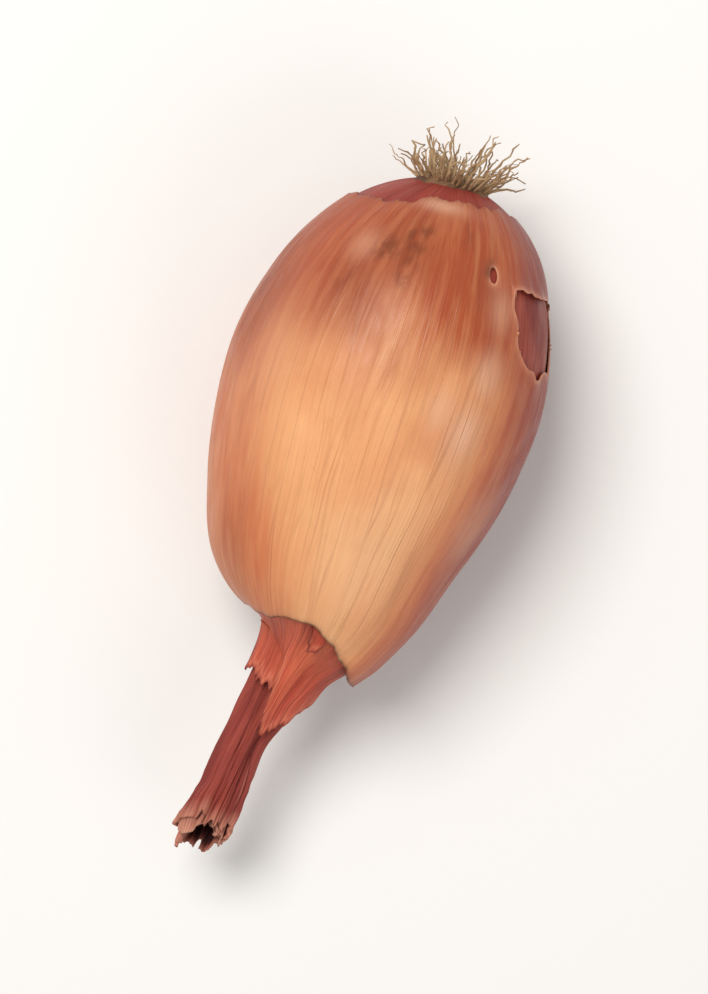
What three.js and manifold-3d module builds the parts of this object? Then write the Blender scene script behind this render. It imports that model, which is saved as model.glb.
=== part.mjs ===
// A shallot lying on its side: the bulb, which runs on into its dry neck, the torn outer skin that wraps it,
// a loose dry leaf on the neck, and the root plate with its dried roots.
// Millimetres, +Z up, +X from the roots to the neck. The origin is the middle of the small flat spot under
// the bulb. Angles round the bulb start at the top and grow towards +Y.

import * as THREE from "three";
import { mergeVertices } from "three/addons/utils/BufferGeometryUtils.js";
import Module from "manifold-3d";

const wasm = await Module();
wasm.setup();

const { PI, sin, cos, exp, sqrt, abs, min, max, hypot } = Math;
const degrees = (angle) => (angle * PI) / 180;

// Body of the bulb
const bodyWidth = 38.4;
const bodyHeight = 36.8;
const widestX = 27; // from the root end to the widest ring
const closingX = 60.7; // from the root end to where the body would close if it had no neck
const closingSkew = 3.2; // the +Y side closes this much later, and the -Y side this much earlier
const rootFullness = 2.05; // superellipse exponent of the root half, 2 being an ellipse
const neckFullness = 0.56; // exponent of the neck half, lower being blunter
const neckFullnessSkew = 0.2; // the -Y side is blunter by this much
const closingSoftness = 0.12; // how gently the body runs out on the neck
const collarReach = 3.4; // how far apart the body and the neck start to blend
const rootLean = 2.6; // the bulb is curved: its root end is this far to +Y of its straight axis
const rootLeanX = 70; // and the curve starts this far from the root end
const restingX = 30; // the flat spot is under the centre of mass, this far from the root end
const restingPitch = degrees(3.4); // the neck end lies this much lower, so that the belly is flat there
const restingDepth = 0.6; // how much of the round belly the flat spot takes away
const restingBlend = 0.25; // height over which the belly rounds into the flat spot

// Dry neck
const neckEndX = 86.5; // middle of the torn rim
const neckStartX = 55; // where the neck's folds start
const neckBendX = 57.2; // the middle of the bend from which the neck leans
const neckBendSoftness = 0.06; // as a share of the neck beyond the bend
const neckBow = 0.05; // the leaning neck's bow, as a share of the lean
const neckLean = 6.7; // the rim's distance from the bulb's axis, towards -Y
const neckDroop = 1.2; // and below it
const neckHalfWidth = 2.85;
const neckRootSpread = 2.6; // extra half width where the neck leaves the body
const neckSpreadSkew = 0.2; // the share by which the spread is wider towards +Y, and narrower towards -Y
const neckSpreadLength = 5.5; // the spread has halved this far along the neck
const neckFlare = 0.4; // extra half width at the torn rim
const neckTwist = degrees(24);
const neckWall = 0.8;
const neckHollow = 9; // depth of the open end
const rimTear = 1.2; // how far the torn rim runs in and out
const rimSlant = 2.6; // and how far it is torn back on top and runs on below, so that the hollow shows
const rimSlantAngle = degrees(20); // the middle of the side that is torn back

// Torn outer skin and the leaf on the neck
const skinGap = 0.38; // clear space under a skin where it lies close
const skinThickness = 0.6;
const skinLeft = degrees(-138); // the skin's long edge under the -Y side
const skinRight = degrees(126); // and under the +Y side
const sideTearAngle = degrees(70); // the middle of the hole torn in the skin's +Y side
const sideTearHalf = degrees(27); // half the hole's width
const sideTearStart = 0.605; // the hole's straight edge, on the side of the roots, as a station
const sideTearEnd = 0.84; // the tip of its rounded edge
const skinRootEdge = 0.285; // the skin's torn edge near the roots, as a station
const skinRootSlant = 0.12; // and it is this much further from the roots on the -Y side,
const skinRootSlantFrom = degrees(-8); // from which angle it runs off
const skinRootSlantTo = degrees(-50); // to which it has run off in full
const skinMouthX = 56.3; // the middle of its torn mouth at the neck
const skinMouthSkew = 2; // the mouth reaches this much further on the +Y side, and less far on the -Y side
const skinMouthLobes = 1.8; // and this much further on both sides
const mouthLift = 1.6; // how far the skin stands off the neck at its mouth
const leafFromX = 54; // the neck leaf's hidden edge
const leafMiddle = degrees(24); // the angle of the leaf's middle
const leafHalfSpan = degrees(116);
const leafNarrowing = 0.12; // the share by which its torn end spans less than its hidden edge
const leafGap = 0.6; // clear space under it, over the pleats of the neck
const leafBridge = 0.3; // how far it stands off in the hollow between the body and the neck
const leafBridgeSkew = 0.1; // and it stands off this much further on the +Y side, and less on the -Y side
const leafCurl = 0.5; // and at its torn end
// The leaf's torn end, which has one tongue: pairs of an angle in degrees and how far it reaches there.
const leafEnds = [
  [-130, 63], [-92, 65.2], [-45, 65.5], [-14, 65.8], [-7, 68.4], [2, 70.4], [18, 71.5],
  [38, 70.6], [58, 69.2], [75, 67.2], [92, 65], [115, 62.8], [150, 61],
];

// Root plate and roots
const plateRadius = 5.2;
const plateThickness = 2.6;
const plateGap = 0.3;
const rootCount = 34;
const rootLength = [3.5, 7.5];
const rootRadius = 0.42;
const rootSplay = degrees(62);

// How finely the solids are faceted
const bulbSteps = 40;
const bodyRings = 21;
const neckRings = 12;
const hollowRings = 4;

const clamp01 = (value) => min(1, max(0, value));

function smoothstep(from, to, value) {
  const t = clamp01((value - from) / (to - from));
  return t * t * (3 - 2 * t);
}

// The larger of two radii, rounded over where they are less than reach apart.
function softMax(a, b, reach) {
  const near = max(reach - abs(a - b), 0) / reach;
  return max(a, b) + (near * near * reach) / 4;
}

// Flattens what is below zero to exactly zero, rounding into the flat over a band of twice the blend.
function flatten(height, blend) {
  if (height <= -blend) return 0;
  return height >= blend ? height : (height + blend) ** 2 / (4 * blend);
}

// A torn edge's run in and out, between about -1 and 1, from waves that never line up.
const ragged = (angle, phase) =>
  0.5 * sin(3 * angle + phase) + 0.32 * sin(7 * angle + 2.3 * phase) + 0.25 * sin(11 * angle + 3.7 * phase);

// A small seeded random number generator, so that every build is the same.
function seeded(seed) {
  let state = seed;
  return () => {
    state = (state * 1664525 + 1013904223) % 4294967296;
    return state / 4294967296;
  };
}

// The bulb's axis, which runs straight to neckBendX and from there leans evenly, with a slight bow.
function axisPoint(x) {
  const beyond = (x - neckBendX) / (neckEndX - neckBendX);
  const ramp = (beyond + hypot(beyond, neckBendSoftness)) / 2;
  const lean = ramp + neckBow * sin(PI * clamp01(beyond)) ** 2;
  return new THREE.Vector3(x, -neckLean * lean, -neckDroop * lean);
}

// The station that is this far along the bulb's axis, on the neck's side of the widest ring.
function stationAt(x, angle) {
  const closing = closingX + closingSkew * sin(angle);
  return x <= closing ? 1 + (x - widestX) / (closing - widestX) : 2 + (x - closing) / (neckEndX - closing);
}

// The neck's own radius: a flattened, twisted, pleated tube that widens at both ends.
function neckRadius(x, angle) {
  const fading = 1 + ((x - neckStartX - 1) / neckSpreadLength) ** 2;
  const spread = (neckRootSpread * (1 + neckSpreadSkew * sin(angle))) / fading;
  const halfWidth = neckHalfWidth + spread + neckFlare * smoothstep(neckEndX - 8, neckEndX, x);
  const flatness = 0.86 - 0.26 * smoothstep(neckStartX, neckStartX + 16, x);
  const turned = angle - neckTwist * smoothstep(neckStartX, neckEndX, x);
  const oval = halfWidth / hypot(sin(turned), cos(turned) / flatness);
  const pleats = 0.06 * cos(5 * turned + 1.2) + 0.05 * cos(8 * turned + 0.4);
  return oval * (1 + pleats * smoothstep(neckStartX - 4, neckStartX + 8, x));
}

// The bulb's surface. Station 0 is the root end, 1 the widest ring, 2 the place where the body closes over
// the neck and 3 the middle of the neck's torn rim. inset moves the point straight in towards the axis.
function bulbPoint(station, angle, inset = 0) {
  const closing = closingX + closingSkew * sin(angle);
  let x;
  let radius;
  if (station <= 1) {
    const turn = (station * PI) / 2;
    x = widestX * (1 - cos(turn) ** (2 / rootFullness));
    radius = (bodyWidth / 2) * sin(turn) ** (2 / rootFullness);
  } else {
    const [from, to] = station < 2 ? [widestX, closing] : [closing, neckEndX];
    x = from + (to - from) * (station - (station < 2 ? 1 : 2));
    const along = (x - widestX) / (closing - widestX);
    const blunt = neckFullness + neckFullnessSkew * sin(angle);
    const body = (bodyWidth / 2) * flatten(1 - along * along, closingSoftness) ** blunt;
    radius = softMax(body, neckRadius(x, angle), collarReach);
  }
  const onBody = 1 - smoothstep(neckStartX - 6, neckStartX + 4, x);
  const oval = 1 + (bodyHeight / bodyWidth - 1) * cos(angle) ** 2 * onBody;
  const uneven = 0.014 * cos(2 * angle + 0.6) + 0.011 * cos(3 * angle - 1.1);
  const reach = radius * (oval + uneven * onBody) - inset;
  const ahead = axisPoint(x + 0.01).sub(axisPoint(x - 0.01)).normalize();
  const side = new THREE.Vector3(0, 0, 1).cross(ahead).normalize();
  const up = ahead.clone().cross(side);
  const point = axisPoint(x);
  point.addScaledVector(side, reach * sin(angle));
  return point.addScaledVector(up, reach * cos(angle));
}

// A point at a height above the bulb's surface, measured square to the surface.
function abovePoint(station, angle, height) {
  const small = 1e-3;
  const along = bulbPoint(station + small, angle).sub(bulbPoint(station - small, angle));
  const round = bulbPoint(station, angle + small).sub(bulbPoint(station, angle - small));
  const out = round.cross(along).normalize().negate();
  return bulbPoint(station, angle).addScaledVector(out, height);
}

function geometryOf(points, faces) {
  const geometry = new THREE.BufferGeometry().setFromPoints(points).setIndex(faces);
  geometry.computeVertexNormals();
  return geometry;
}

// A closed solid through rings of points, from a first point to a last one.
function loft(first, rings, last) {
  const around = rings[0].length;
  const points = [first, ...rings.flat(), last];
  const faces = [];
  const at = (ring, step) => 1 + ring * around + (step % around);
  for (let step = 0; step < around; step++) {
    faces.push(0, at(0, step), at(0, step + 1));
    for (let ring = 0; ring < rings.length - 1; ring++) {
      const [a, b] = [at(ring, step), at(ring, step + 1)];
      const [c, d] = [at(ring + 1, step + 1), at(ring + 1, step)];
      faces.push(a, c, b, a, d, c);
    }
    faces.push(points.length - 1, at(rings.length - 1, step + 1), at(rings.length - 1, step));
  }
  return geometryOf(points, faces);
}

// A thick sheet of rows and columns of cells, of which only those that isKept says are there.
// pointAt(u, v, top) gives its top and bottom faces, and isKept(u, v) judges a cell by its middle.
function sheet(rows, columns, pointAt, isKept = () => true) {
  const points = [];
  for (const top of [true, false])
    for (let row = 0; row <= rows; row++)
      for (let column = 0; column <= columns; column++)
        points.push(pointAt(row / rows, column / columns, top));
  const inside = (row, column) => row >= 0 && row < rows && column >= 0 && column < columns;
  const kept = (row, column) => inside(row, column) && isKept((row + 0.5) / rows, (column + 0.5) / columns);
  const above = (row, column) => row * (columns + 1) + column;
  const below = (row, column) => above(row, column) + (rows + 1) * (columns + 1);
  const faces = [];
  const quad = (a, b, c, d) => faces.push(a, b, c, a, c, d);
  const wall = (from, to) => quad(above(...from), below(...from), below(...to), above(...to));
  for (let row = 0; row < rows; row++) {
    for (let column = 0; column < columns; column++) {
      if (!kept(row, column)) continue;
      const [near, right] = [[row, column], [row, column + 1]];
      const [far, farRight] = [[row + 1, column], [row + 1, column + 1]];
      quad(above(...near), above(...far), above(...farRight), above(...right));
      quad(below(...farRight), below(...far), below(...near), below(...right));
      if (!kept(row - 1, column)) wall(right, near);
      if (!kept(row + 1, column)) wall(far, farRight);
      if (!kept(row, column - 1)) wall(near, far);
      if (!kept(row, column + 1)) wall(farRight, right);
    }
  }
  return mergeVertices(geometryOf(points, faces));
}

// The bulb and its neck in one piece: a socket for the root plate, the body, the neck, and the open end.
function bulbGeometry() {
  const anglesAround = Array.from({ length: bulbSteps }, (_, step) => (step / bulbSteps) * 2 * PI);
  const socketRadius = plateRadius + plateGap;
  const rimStation = (2 / PI) * Math.asin((socketRadius / (bodyWidth / 2)) ** (rootFullness / 2));
  const socketX = plateThickness + plateGap;
  const socketRing = anglesAround.map(
    (angle) => new THREE.Vector3(socketX, socketRadius * sin(angle), socketRadius * cos(angle)),
  );
  const rings = [socketRing];
  for (let ring = 0; ring <= bodyRings; ring++) {
    const station = rimStation + (2 - rimStation) * (ring / bodyRings);
    rings.push(anglesAround.map((angle) => bulbPoint(station, angle)));
  }
  const rimRun = (angle) => rimTear * ragged(angle, 1) - rimSlant * cos(angle - rimSlantAngle);
  const rimStationAt = (angle) => 3 + rimRun(angle) / (neckEndX - closingX);
  for (let ring = 1; ring <= neckRings; ring++) {
    const share = ring / neckRings;
    rings.push(anglesAround.map((angle) => bulbPoint(2 + (rimStationAt(angle) - 2) * share, angle)));
  }
  const hollowStation = 3 - neckHollow / (neckEndX - closingX);
  for (let ring = 0; ring < hollowRings; ring++) {
    const left = 1 - ring / hollowRings;
    rings.push(
      anglesAround.map((angle) =>
        bulbPoint(hollowStation + (rimStationAt(angle) - hollowStation) * left, angle, neckWall),
      ),
    );
  }
  const hollowX = closingX + (hollowStation - 2) * (neckEndX - closingX);
  return loft(new THREE.Vector3(socketX, 0, 0), rings, axisPoint(hollowX));
}

// The outer skin: one dry leaf round the body, open underneath, torn at both ends, with a hole torn in its
// +Y side.
function outerSkinGeometry() {
  const placeAt = (u, v) => {
    const roughAngle = skinLeft + (skinRight - skinLeft) * v;
    const onLeft = smoothstep(skinRootSlantFrom, skinRootSlantTo, roughAngle);
    const from = skinRootEdge + skinRootSlant * onLeft + 0.04 * ragged(roughAngle, 2);
    const mouthX = skinMouthX + skinMouthSkew * sin(roughAngle) + skinMouthLobes * sin(roughAngle) ** 2;
    const to = stationAt(mouthX, roughAngle) + 0.02 * ragged(roughAngle, 3);
    const station = from + (to - from) * u;
    const left = skinLeft + degrees(6) * ragged(3 * station, 4);
    const right = skinRight + degrees(5) * ragged(3 * station, 5);
    return [station, left + (right - left) * v];
  };
  const pointAt = (u, v, top) => {
    const [station, angle] = placeAt(u, v);
    const mouth = (mouthLift - skinGap) * smoothstep(1.52, 1.79, station);
    const longEdges = 0.7 * (exp(-v / 0.03) + exp(-(1 - v) / 0.03));
    const rootEdge = 0.4 * exp(-u / 0.05);
    const height = skinGap + mouth + longEdges + rootEdge + (top ? skinThickness : 0);
    return abovePoint(station, angle, height);
  };
  const isKept = (u, v) => {
    const [station, angle] = placeAt(u, v);
    const fromMiddle = abs(angle - sideTearAngle) / sideTearHalf;
    const end = sideTearStart + (sideTearEnd - sideTearStart) * (1 - fromMiddle ** 5);
    return fromMiddle >= 1 || station < sideTearStart || station > end;
  };
  return sheet(23, 34, pointAt, isKept);
}

// How far the neck leaf reaches at an angle.
function leafEndX(angle) {
  const inDegrees = (angle * 180) / PI;
  const next = max(1, leafEnds.findIndex(([at]) => at >= inDegrees));
  const [[from, fromX], [to, toX]] = [leafEnds[next - 1], leafEnds[next]];
  return fromX + ((toX - fromX) * (inDegrees - from)) / (to - from);
}

// The dry leaf that lies on the neck: tucked under the skin's mouth, with one long torn tongue.
function neckLeafGeometry() {
  return sheet(11, 24, (u, v, top) => {
    const spread = leafMiddle + leafHalfSpan * (2 * v - 1);
    const x = leafFromX + (leafEndX(spread) - leafFromX) * u;
    const angle = leafMiddle + (spread - leafMiddle) * (1 - leafNarrowing * smoothstep(60, 70, x));
    const fromHollow = x - closingX - closingSkew * sin(angle) - 0.6;
    const bridge = (leafBridge + leafBridgeSkew * sin(angle)) * exp(-((fromHollow / 2) ** 2));
    const height = leafGap + bridge + leafCurl * u ** 4;
    return abovePoint(stationAt(x, angle), angle, height + (top ? skinThickness : 0));
  });
}

function toSolid(geometry) {
  const bare = new THREE.BufferGeometry().setAttribute("position", geometry.getAttribute("position"));
  const merged = mergeVertices(bare.setIndex(geometry.index));
  const mesh = new wasm.Mesh({
    numProp: 3,
    vertProperties: merged.getAttribute("position").array,
    triVerts: new Uint32Array(merged.index.array),
  });
  return new wasm.Manifold(mesh);
}

// Joins leave slivers where faces nearly meet, so vertices closer than the tolerance become one.
function fromSolid(solid, tolerance = 0.02) {
  const mesh = solid.simplify(tolerance).getMesh();
  const geometry = new THREE.BufferGeometry();
  geometry.setAttribute("position", new THREE.BufferAttribute(mesh.vertProperties, 3));
  geometry.setIndex(new THREE.BufferAttribute(mesh.triVerts, 1));
  geometry.computeVertexNormals();
  return geometry;
}

// One dried root: a bent, tapering wire whose first end is sunk in the plate.
function rootGeometry(start, direction, length, curl) {
  const sides = 4;
  const steps = 4;
  const middle = start.clone().addScaledVector(direction, length * 0.55);
  const end = start.clone().addScaledVector(direction, length).add(curl);
  const curve = new THREE.QuadraticBezierCurve3(start, middle, end);
  const frames = curve.computeFrenetFrames(steps);
  const rings = [];
  for (let step = 0; step <= steps; step++) {
    const radius = rootRadius * (1 - (0.4 * step) / steps);
    const centre = curve.getPointAt(step / steps);
    const ring = [];
    for (let side = 0; side < sides; side++) {
      const angle = (side / sides) * 2 * PI;
      const point = centre.clone().addScaledVector(frames.normals[step], radius * cos(angle));
      ring.push(point.addScaledVector(frames.binormals[step], -radius * sin(angle)));
    }
    rings.push(ring);
  }
  return loft(start, rings, end);
}

// The root plate, a low dome in the bulb's socket, with its roots spread over the dome like seeds in a head.
function rootsGeometry() {
  const dome = new THREE.CylinderGeometry(plateRadius, plateRadius * 0.78, plateThickness, 28);
  let solid = toSolid(dome.rotateZ(-PI / 2).translate(plateThickness / 2, 0, 0));
  const random = seeded(7);
  const goldenAngle = PI * (3 - sqrt(5));
  for (let index = 0; index < rootCount; index++) {
    const outward = sqrt((index + 0.5) / rootCount);
    const angle = index * goldenAngle;
    const sideways = new THREE.Vector3(0, sin(angle), cos(angle));
    const start = sideways.clone().multiplyScalar(outward * plateRadius * 0.68).setX(0.9);
    const splay = rootSplay * outward * (0.8 + 0.4 * random());
    const direction = sideways.clone().multiplyScalar(sin(splay)).setX(-cos(splay));
    const length = rootLength[0] + (rootLength[1] - rootLength[0]) * random();
    const curl = new THREE.Vector3(-random(), random() - 0.5, random() - 0.5).multiplyScalar(2.4);
    solid = solid.add(toSolid(rootGeometry(start, direction, length, curl)));
  }
  return fromSolid(solid);
}

// How far to +Y the curved bulb is from its straight axis.
const curveAt = (x) => rootLean * max(0, 1 - x / rootLeanX) ** 2;

// Curves a solid, moves it from the bulb's own axis to where the bulb lies, and flattens the belly on the
// surface.
function layDown(geometry) {
  const axisHeight = bodyHeight / 2 - restingDepth;
  const position = geometry.getAttribute("position");
  for (let index = 0; index < position.count; index++)
    position.setY(index, position.getY(index) + curveAt(position.getX(index)) - curveAt(restingX));
  geometry.translate(-restingX, 0, 0).rotateY(restingPitch).translate(0, 0, axisHeight);
  for (let index = 0; index < position.count; index++)
    position.setZ(index, flatten(position.getZ(index), restingBlend));
  geometry.computeVertexNormals();
  return geometry;
}

function dry(color, roughness) {
  return new THREE.MeshStandardMaterial({ color, roughness, metalness: 0 });
}

function piece(name, geometry, material) {
  const mesh = new THREE.Mesh(layDown(geometry), material);
  mesh.name = name;
  return mesh;
}

const shallot = new THREE.Group();
shallot.name = "shallot";
shallot.add(
  piece("bulb", bulbGeometry(), dry(0x9c4733, 0.5)),
  piece("outer_skin", outerSkinGeometry(), dry(0xd6996b, 0.42)),
  piece("neck_leaf", neckLeafGeometry(), dry(0xb5593f, 0.6)),
  piece("roots", rootsGeometry(), dry(0xb59a78, 0.9)),
);

export default shallot;
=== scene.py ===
"""A long shallot on its side: a red-brown bulb with a dry pleated neck, a torn tan outer skin, a dry leaf
on the neck and a tuft of dried roots.

Lengths are in millimetres until a mesh is made. The bulb's own axis runs from the roots, at x = 0, to the
neck. Angles round it start at the top and grow towards +Y, and left and right are -Y and +Y. A station says
how far along the bulb's outline a place is: 0 is the root end, 1 the widest ring, 2 where the body closes
over the neck, 3 the neck's end. Noise comes from ripple and crease, whose last argument is the seed.
"""

import bpy
import numpy as np
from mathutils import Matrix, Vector


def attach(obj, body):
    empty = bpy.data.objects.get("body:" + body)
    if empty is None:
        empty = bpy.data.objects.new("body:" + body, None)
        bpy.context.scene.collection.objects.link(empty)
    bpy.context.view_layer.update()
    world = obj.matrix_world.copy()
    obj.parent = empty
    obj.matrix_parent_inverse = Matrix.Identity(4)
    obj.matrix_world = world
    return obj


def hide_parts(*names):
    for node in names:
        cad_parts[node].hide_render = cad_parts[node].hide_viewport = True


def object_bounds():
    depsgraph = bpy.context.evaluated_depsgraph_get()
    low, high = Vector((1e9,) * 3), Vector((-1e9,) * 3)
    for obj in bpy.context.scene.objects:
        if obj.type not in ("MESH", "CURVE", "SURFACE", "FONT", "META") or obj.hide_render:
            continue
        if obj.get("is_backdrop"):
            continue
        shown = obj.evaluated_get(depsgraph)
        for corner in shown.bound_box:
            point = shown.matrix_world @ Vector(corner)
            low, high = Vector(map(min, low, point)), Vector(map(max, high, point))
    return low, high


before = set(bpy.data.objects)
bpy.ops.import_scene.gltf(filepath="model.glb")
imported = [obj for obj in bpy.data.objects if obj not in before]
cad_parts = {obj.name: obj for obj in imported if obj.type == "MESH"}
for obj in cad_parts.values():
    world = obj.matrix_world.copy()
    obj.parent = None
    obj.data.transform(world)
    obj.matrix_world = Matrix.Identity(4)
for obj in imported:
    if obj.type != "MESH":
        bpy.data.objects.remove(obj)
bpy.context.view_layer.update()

MM = 0.001
sin, cos, exp, sqrt, radians, pi = np.sin, np.cos, np.exp, np.sqrt, np.radians, np.pi

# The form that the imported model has
BODY_WIDTH = 38.4
BODY_HEIGHT = 36.8
WIDEST_X = 27.0
CLOSING_X = 60.7  # where the body would close if it had no neck
CLOSING_SKEW = 3.2  # it closes this much later on the +Y side
ROOT_FULLNESS = 2.05  # superellipse exponent of the root half
NECK_FULLNESS = 0.56  # exponent of the neck half
NECK_FULLNESS_SKEW = 0.2
CLOSING_SOFTNESS = 0.12  # how gently the body runs out on the neck
COLLAR_REACH = 3.4  # how far apart the body and the neck start to blend
ROOT_LEAN = 2.6  # how far to +Y the curved bulb's root end is
ROOT_LEAN_X = 70.0  # where that curve starts
RESTING_X = 30.0
RESTING_PITCH = radians(3.4)
RESTING_DEPTH = 0.6  # what the flat spot takes off the belly
RESTING_BLEND = 0.25
NECK_START_X = 55.0  # about where the neck's folds start
NECK_END_X = 86.5
NECK_LENGTH = NECK_END_X - CLOSING_X
NECK_BEND_X = 57.2
NECK_BEND_SOFTNESS = 0.06
NECK_BOW = 0.05
NECK_LEAN = 6.7  # the rim's distance from the bulb's axis, towards -Y
NECK_DROOP = 1.2  # and below it
NECK_HALF_WIDTH = 2.85
NECK_FLATNESS = 0.86  # its height as a share of its width, at its foot
NECK_FLATTENING = 0.26  # what that share loses along the neck
NECK_FLATTENING_LENGTH = 16.0
NECK_ROOT_SPREAD = 2.6  # extra half width at the neck's foot
NECK_SPREAD_SKEW = 0.2
NECK_SPREAD_LENGTH = 5.5
NECK_FLARE = 0.4  # extra half width at the rim
NECK_TWIST = radians(24)
RIM_TEAR = 1.2  # how far the torn rim runs in and out
RIM_SLANT = 2.6
RIM_SLANT_ANGLE = radians(20)  # the middle of the side that is torn back
SKIN_LEFT = radians(-138)  # the skin's long edge under the -Y side
SKIN_RIGHT = radians(126)  # and under the +Y side
SKIN_ROOT_EDGE = 0.285  # the torn edge near the roots, as a station
SKIN_ROOT_SLANT = 0.12
SKIN_ROOT_SLANT_FROM = radians(-8)
SKIN_ROOT_SLANT_TO = radians(-50)
SKIN_MOUTH_X = 56.3  # the middle of the torn mouth at the neck
SKIN_MOUTH_SKEW = 2.0
SKIN_MOUTH_LOBES = 1.8
TEAR_ANGLE = radians(70)  # the middle of the hole torn in the skin
TEAR_HALF = radians(27)
TEAR_FROM_X = 11.2
TEAR_LENGTH = 9.0
LEAF_MIDDLE = radians(24)
LEAF_HALF_SPAN = radians(116)
LEAF_NARROWING = 0.12  # the share by which its torn end spans less than its hidden edge
LEAF_FROM_X = 54.0
PLATE_RADIUS = 5.2

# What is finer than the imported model, or keeps inside it
PAPER = 0.2  # thickness of a dry skin
FOLD_LEVEL = 0.74  # the pleats' height that lies on the neck's smooth surface
DEEPEST_FOLD = 0.5  # as a share of the neck's radius
NECK_WALL = 0.45
THINNEST_WALL = 0.25
RIM_SHYNESS = 0.35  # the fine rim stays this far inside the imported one
HOLLOW_DEPTH = 14.0
HOLLOW_NARROWING = 1.3
HOLLOW_LEAST = 0.35  # nothing in the hollow comes nearer to the neck's axis
SHEATH_END_X = 87.9  # the neck's inner layers end here at the latest
SKIN_MOUTH_NOTCH = 1.1  # how far the mouth's edge draws back over the neck
SKIN_MOUTH_SCALE = 36.0  # millimetres in a unit of station, near the mouth
MOUTH_LIFT = 1.5  # how far the skin stands off the neck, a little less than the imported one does
PINHOLE_X = 10.1
PINHOLE_ANGLE = radians(32)
BODY_ARC = 17.0  # millimetres in a radian round the body, near the torn edges
NECK_ARC = 4.4  # and round the neck
PLATE_DEPTH = 3.0
ROOT_COUNT = 120
ROOT_LENGTHS = (2.5, 7.0)
ROOT_RADII = (0.12, 0.26)
ROOT_RINGS, ROOT_SIDES = 15, 6
LATTICE_ROWS = 64  # of random numbers under ripple, along the axis
GRADING_STEPS = 4000


# -------- numbers


def smoothstep(start, end, value):
    t = np.clip((value - start) / (end - start), 0, 1)
    return t * t * (3 - 2 * t)


def bump(middle, reach, value):
    """1 at the middle, falling smoothly away on both sides."""
    return exp(-(((value - middle) / reach) ** 2))


def waves(angle, phase):
    """A torn edge's slow run in and out, from waves that never line up."""
    slow = 0.5 * sin(3 * angle + phase) + 0.32 * sin(7 * angle + 2.3 * phase)
    return slow + 0.25 * sin(11 * angle + 3.7 * phase)


def ripple(angle, x, count, length, seed):
    """Smooth noise from -1 to 1 round an axis: count features in a turn, and one every length along it."""
    lattice = np.random.default_rng(seed).uniform(-1, 1, (LATTICE_ROWS, count))
    turn, along = np.broadcast_arrays(angle / (2 * pi) * count, x / length)
    column, row = np.floor(turn).astype(int), np.floor(along).astype(int)
    over, up = turn - column, along - row
    over, up = over * over * (3 - 2 * over), up * up * (3 - 2 * up)

    def at(rows, columns):
        return lattice[(row + rows) % LATTICE_ROWS, (column + columns) % count]

    near = at(0, 0) * (1 - over) + at(0, 1) * over
    far = at(1, 0) * (1 - over) + at(1, 1) * over
    return near * (1 - up) + far * up


def crease(angle, x, count, length, seed):
    """Noise with sharp ridges, as in crumpled paper: 1 on a ridge, and below 0 between them."""
    return 1 - 2.5 * abs(ripple(angle, x, count, length, seed))


def graded(start, end, count, dense, strength, reach):
    """Values from start to end that lie closer together round the dense ones."""
    fine = np.linspace(start, end, GRADING_STEPS)
    weight = 1 + sum(strength * bump(middle, reach, fine) for middle in dense)
    grown = np.concatenate([[0], np.cumsum((weight[1:] + weight[:-1]) / 2)])
    return np.interp(np.linspace(0, grown[-1], count), grown, fine)


# -------- the bulb's surface


def closing_x(angle):
    return CLOSING_X + CLOSING_SKEW * sin(angle)


def axis_point(x):
    """The middle of the bulb or neck, before the bulb is curved and laid down."""
    beyond = (x - NECK_BEND_X) / (NECK_END_X - NECK_BEND_X)
    ramp = (beyond + np.hypot(beyond, NECK_BEND_SOFTNESS)) / 2
    lean = ramp + NECK_BOW * sin(pi * np.clip(beyond, 0, 1)) ** 2
    return np.stack([x, -NECK_LEAN * lean, -NECK_DROOP * lean], -1)


def across_axis(x):
    """Two directions square to the axis: sideways and up."""
    ahead = axis_point(x + 0.01) - axis_point(x - 0.01)
    ahead /= np.linalg.norm(ahead, axis=-1, keepdims=True)
    side = np.cross([0, 0, 1], ahead)
    side /= np.linalg.norm(side, axis=-1, keepdims=True)
    return side, np.cross(ahead, side)


def untwisted(x, angle):
    """An angle on the neck, turned back by the neck's twist."""
    return angle - NECK_TWIST * smoothstep(NECK_START_X, NECK_END_X, x)


def neck_radius(x, angle):
    fading = 1 + ((x - NECK_START_X - 1) / NECK_SPREAD_LENGTH) ** 2
    spread = NECK_ROOT_SPREAD * (1 + NECK_SPREAD_SKEW * sin(angle)) / fading
    half_width = NECK_HALF_WIDTH + spread + NECK_FLARE * smoothstep(NECK_END_X - 8, NECK_END_X, x)
    flattened = smoothstep(NECK_START_X, NECK_START_X + NECK_FLATTENING_LENGTH, x)
    flatness = NECK_FLATNESS - NECK_FLATTENING * flattened
    turned = untwisted(x, angle)
    oval = half_width / np.hypot(sin(turned), cos(turned) / flatness)
    wide_pleats = 0.06 * cos(5 * turned + 1.2) + 0.05 * cos(8 * turned + 0.4)
    return oval * (1 + wide_pleats * smoothstep(NECK_START_X - 4, NECK_START_X + 8, x))


def flatten(value, blend):
    """What is below zero becomes exactly zero, and it rounds into the flat over twice the blend."""
    rounded = (value + blend) ** 2 / (4 * blend)
    return np.where(value <= -blend, 0, np.where(value >= blend, value, rounded))


def soft_max(a, b, reach):
    """The larger of two, with the corner where they meet rounded."""
    near = np.maximum(reach - abs(a - b), 0) / reach
    return np.maximum(a, b) + near * near * reach / 4


def x_of(station, angle):
    """How far along the bulb's axis a station is."""
    closing = closing_x(angle)
    turn = np.clip(station, 0, 1) * pi / 2
    root_half = WIDEST_X * (1 - np.clip(cos(turn), 0, 1) ** (2 / ROOT_FULLNESS))
    neck_half = WIDEST_X + (closing - WIDEST_X) * np.clip(station - 1, 0, 1)
    neck = closing + (NECK_END_X - closing) * (station - 2)
    return np.where(station <= 1, root_half, np.where(station <= 2, neck_half, neck))


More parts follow.
